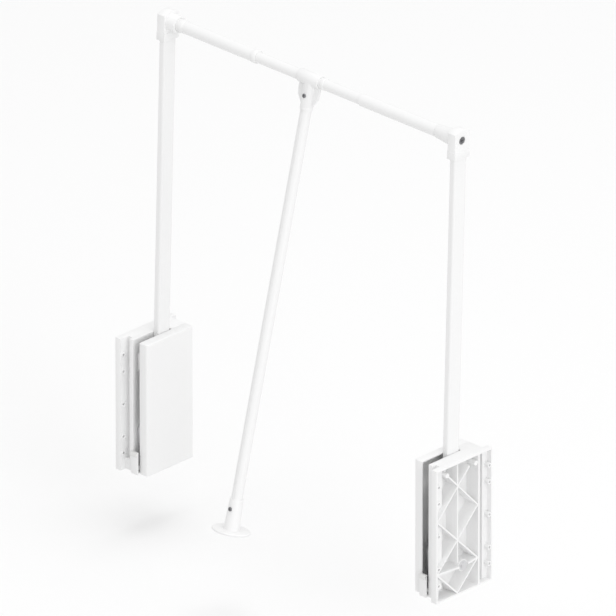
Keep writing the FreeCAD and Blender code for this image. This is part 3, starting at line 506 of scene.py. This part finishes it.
# %% The round pieces
for node, (radius, lines) in turned.items():
    piece = joined_copy(node, node + "_moulded")
    if node.endswith("tube"):
        sliced(piece, lines[0])
    for line in lines:
        finer_rounds(piece, line)
    if radius:
        round_edges(piece, radius, seats)
    settle(piece, node)

# %% [markdown]
# ## Cross slots
# The two screws that hold the pull rod together are small round heads that face the user. A
# bump could suggest the driver's cross, but it would go flat at the rim. So two thin blocks are
# laid across the head's outer face, square to each other, and a Boolean modifier takes them away
# from a copy of the screw.

# %% The way the screws point
screw_out = Vector((1.0, 0.0, 0.0)).cross(pull_line[1])
print("screws point to", [round(v, 3) for v in screw_out])

# %% A block for one arm of the cross
SLOT_LENGTH = 4.4 * MM
SLOT_WIDTH = 0.9 * MM
SLOT_DEPTH = 0.9 * MM
RIM_DEPTH = 0.02 * MM


def slot_block(centre, turn):
    """A thin block, sunk halfway into the head's outer face and turned about the screw's axis."""
    bpy.ops.object.select_all(action="DESELECT")
    bpy.ops.mesh.primitive_cube_add(size=1.0)
    block = bpy.context.object
    size = Matrix.Diagonal((SLOT_LENGTH, SLOT_WIDTH, 2 * SLOT_DEPTH, 1.0))
    face = screw_out.to_track_quat("Z", "Y").to_matrix().to_4x4()
    block.matrix_world = Matrix.Translation(centre) @ face @ Matrix.Rotation(turn, 4, "Z") @ size
    bpy.ops.object.transform_apply()
    return block


def outer_face(piece):
    """The middle of the screw head's outer face."""
    reach = max(point.co.dot(screw_out) for point in piece.data.vertices)
    rim = [point.co for point in piece.data.vertices if point.co.dot(screw_out) > reach - RIM_DEPTH]
    return sum(rim, Vector()) / len(rim)


print("slot, in mm:", [round(v / MM, 1) for v in (SLOT_LENGTH, SLOT_WIDTH, SLOT_DEPTH)])

# %% Cut the crosses
QUARTER = math.pi / 2


def cross_slotted(node, turn):
    piece = joined_copy(node, node + "_slotted")
    centre = outer_face(piece)
    for angle in (turn, turn + QUARTER):
        block = slot_block(centre, angle)
        cut = piece.modifiers.new("slot", "BOOLEAN")
        cut.operation = "DIFFERENCE"
        cut.object = block
        select_only(piece)
        bpy.ops.object.modifier_apply(modifier=cut.name)
        bpy.data.objects.remove(block)
    settle(piece, node)


for node, turn in (("t_screw", 0.4), ("handle_screw", 1.0)):
    cross_slotted(node, turn)

# %% [markdown]
# ## Floor
# The object hangs in the air, as it would between two panels, so the floor lies a little below
# it and takes a faint soft shadow. A floor lit up to white would throw light back up on the
# object. So it is pale grey to the light, and gives off a little white that only the camera sees.

# %% Floor
FLOOR_SIZE = 60.0
FLOOR_DROP = 120 * MM
CAMERA_GLOW = 0.10


def floor_finish():
    shader = new_finish("floor")
    seen = shader.node("ShaderNodeLightPath", output="Is Camera Ray")
    return shader.set(
        Base_Color=(0.80, 0.80, 0.80, 1.0),
        Roughness=0.9,
        Emission_Color=seen,
        Emission_Strength=CAMERA_GLOW,
    )


(left_x, _, lowest), (right_x, _, _) = cad_box
middle_x = (left_x + right_x) / 2
bpy.ops.object.select_all(action="DESELECT")
bpy.ops.mesh.primitive_plane_add(size=FLOOR_SIZE, location=(middle_x, 0.0, lowest - FLOOR_DROP))
floor = bpy.context.object
floor.name = "floor"
floor.data.materials.append(floor_finish())
print("floor at", round(floor.location.z / MM), "mm")

# %% [markdown]
# ## World and lamps
# A catalogue picture of a white object is lit by large soft boxes in a white studio. Three wide
# area lamps and an even pale world do the same: the side lamp lights the faces towards +X, the
# top lamp the upper faces, and the front stays a shade darker, so that the edges between the
# white faces can be told apart. The world is a little brighter to the camera and in reflections
# than in the light that it gives.

# %% World
WORLD_LIGHT = 0.82
WORLD_SEEN = 0.97
studio = Shader(bpy.data.worlds.new("studio"), "Background")
camera_ray = studio.node("ShaderNodeLightPath", output="Is Camera Ray")
glossy_ray = studio.node("ShaderNodeLightPath", output="Is Glossy Ray")
seen = camera_ray.maths("MAXIMUM", camera_ray, glossy_ray)
studio.set(Color=(1.0, 1.0, 1.0, 1.0), Strength=WORLD_LIGHT + (WORLD_SEEN - WORLD_LIGHT) * seen)
bpy.context.scene.world = studio.owner
print("world:", studio.owner.name)

# %% Lamps
CENTRE = Vector((middle_x, 0.0, 0.30))


def add_object(name, data, place, back):
    """Links a lamp or camera at that place, with its back turned to that direction."""
    added = bpy.data.objects.new(name, data)
    bpy.context.scene.collection.objects.link(added)
    added.location = place
    added.rotation_mode = "QUATERNION"
    added.rotation_quaternion = back.to_track_quat("Z", "Y")
    return added


def soft_box(name, place, width, power):
    light = bpy.data.lights.new(name, "AREA")
    light.shape = "SQUARE"
    light.size = width
    light.energy = power
    return add_object(name, light, place, Vector(place) - CENTRE)


soft_box("key", (-1.2, -5.2, 4.8), 3.6, 12.0)
soft_box("side", (15.2, -3.8, 4.6), 10.0, 680.0)
soft_box("top", (0.8, 1.0, 9.2), 6.0, 215.0)

# %% [markdown]
# ## Camera
# The camera looks down from the user's right, from far off through a long lens, so that upright
# lines stay nearly parallel, as in a catalogue picture. The aim lies a few millimetres off the
# object's middle, which centres it in a square picture.

# %% Camera
AZIMUTH = math.radians(44.19)
ELEVATION = math.radians(25.40)
DISTANCE = 49.5
LENS = 1643.3
SENSOR = 36.0
AIM_RIGHT = 8.60 * MM
AIM_DOWN = 6.42 * MM
FAR_CLIP = 200.0

right = Vector((math.cos(AZIMUTH), math.sin(AZIMUTH), 0.0))
level = Vector((math.sin(AZIMUTH), -math.cos(AZIMUTH), 0.0))
back = math.cos(ELEVATION) * level + Vector((0.0, 0.0, math.sin(ELEVATION)))
aim = CENTRE + right * AIM_RIGHT - back.cross(right) * AIM_DOWN
camera_data = bpy.data.cameras.new("camera")
camera_data.lens = LENS
camera_data.sensor_width = SENSOR
camera_data.clip_end = FAR_CLIP
camera = add_object("camera", camera_data, aim + back * DISTANCE, back)
bpy.context.scene.camera = camera
bpy.context.scene.view_settings.view_transform = "Standard"
print("camera at", [round(v, 2) for v in camera.location])
